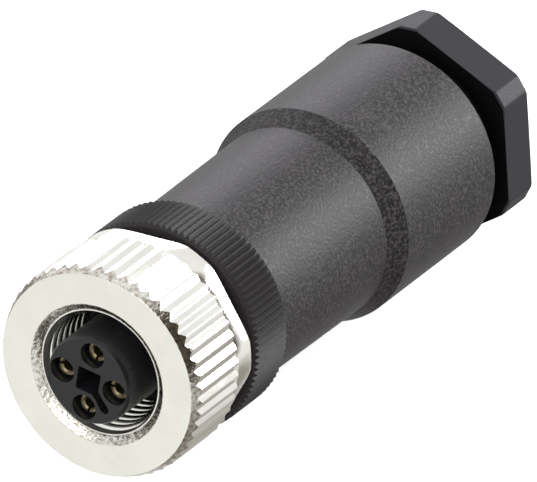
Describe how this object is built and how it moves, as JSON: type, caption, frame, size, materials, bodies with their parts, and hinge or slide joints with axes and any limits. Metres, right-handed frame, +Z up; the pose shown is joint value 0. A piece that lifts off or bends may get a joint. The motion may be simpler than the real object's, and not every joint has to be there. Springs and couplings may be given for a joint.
{
  "type": "m12 cable connector",
  "caption": "Straight female circular cable connector with a knurled metal coupling nut, black sleeve, screw terminals and a hexagon gland screw.",
  "frame": {"origin": "centre of the mating face on the connector's axis", "axes": "+Y along the axis from the mating face to the cable entry, +Z up with one flat of the hexagon facing down and the connector resting on the wide part of its housing, +X to the right seen from the mating end"},
  "size_m": [0.0212, 0.059, 0.0204],
  "materials": {
    "nickel": "bright nickel plating on turned brass",
    "insert_plastic": "smooth satin black moulding",
    "collar_plastic": "satin black moulding with a fine knurl",
    "housing_plastic": "finely eroded matt black moulding",
    "gland_plastic": "satin black moulding",
    "cage_plastic": "satin black moulding",
    "seal_rubber": "matt black rubber cord",
    "gland_rubber": "matt black moulded rubber",
    "contact_gold": "thin gold plating on turned brass",
    "screw_steel": "nickel-plated steel"
  },
  "bodies": {
    "housing": {"housing": "housing_plastic", "gland_seal": "gland_rubber"},
    "seal_ring": {"collar_seal": "seal_rubber"},
    "contact_carrier": {"knurled_collar": "collar_plastic", "contact_insert": "insert_plastic", "terminal_block": "insert_plastic", "face_seal": "seal_rubber", "contact_1": "contact_gold", "contact_2": "contact_gold", "contact_3": "contact_gold", "contact_4": "contact_gold"},
    "coupling_nut": {"coupling_nut": "nickel"},
    "clamp_screw_1": {"terminal_screw_1": "screw_steel"},
    "clamp_screw_2": {"terminal_screw_2": "screw_steel"},
    "clamp_screw_3": {"terminal_screw_3": "screw_steel"},
    "clamp_screw_4": {"terminal_screw_4": "screw_steel"},
    "clamp_cage": {"clamp_cage": "cage_plastic"},
    "pressing_screw": {"pressing_screw": "gland_plastic"}
  },
  "joints": [
    {"name": "carrier_travel", "type": "slide", "parent": "housing", "child": "seal_ring", "axis": [0, -1, 0], "range_m": [0, 0.006]},
    {"name": "carrier_turn", "type": "hinge", "parent": "seal_ring", "child": "contact_carrier", "pos_m": [0, 0.019, 0], "axis": [0, -1, 0], "range_deg": [0, 2160]},
    {"name": "nut_turn", "type": "hinge", "parent": "contact_carrier", "child": "coupling_nut", "pos_m": [0, 0.0105, 0], "axis": [0, -1, 0], "continuous": true},
    {"name": "clamp_screw_1_travel", "type": "slide", "parent": "contact_carrier", "child": "clamp_screw_1", "axis": [0.9563, 0, 0.2924], "range_m": [-0.0009, 0.0009]},
    {"name": "clamp_screw_2_travel", "type": "slide", "parent": "contact_carrier", "child": "clamp_screw_2", "axis": [0.2924, 0, -0.9563], "range_m": [-0.0009, 0.0009]},
    {"name": "clamp_screw_3_travel", "type": "slide", "parent": "contact_carrier", "child": "clamp_screw_3", "axis": [-0.9563, 0, -0.2924], "range_m": [-0.0009, 0.0009]},
    {"name": "clamp_screw_4_travel", "type": "slide", "parent": "contact_carrier", "child": "clamp_screw_4", "axis": [-0.2924, 0, 0.9563], "range_m": [-0.0009, 0.0009]},
    {"name": "gland_travel", "type": "slide", "parent": "housing", "child": "clamp_cage", "axis": [0, 1, 0], "range_m": [-0.00225, 0.006], "deforming": ["gland_seal"]},
    {"name": "gland_turn", "type": "hinge", "parent": "clamp_cage", "child": "pressing_screw", "pos_m": [0, 0.05, 0], "axis": [0, 1, 0], "range_deg": [-540, 1440]}
  ],
  "couplings": [
    {"joint": "carrier_travel", "follows": "carrier_turn", "m_per_rad": 0.00015915},
    {"joint": "gland_travel", "follows": "gland_turn", "m_per_rad": 0.00023873}
  ]
}
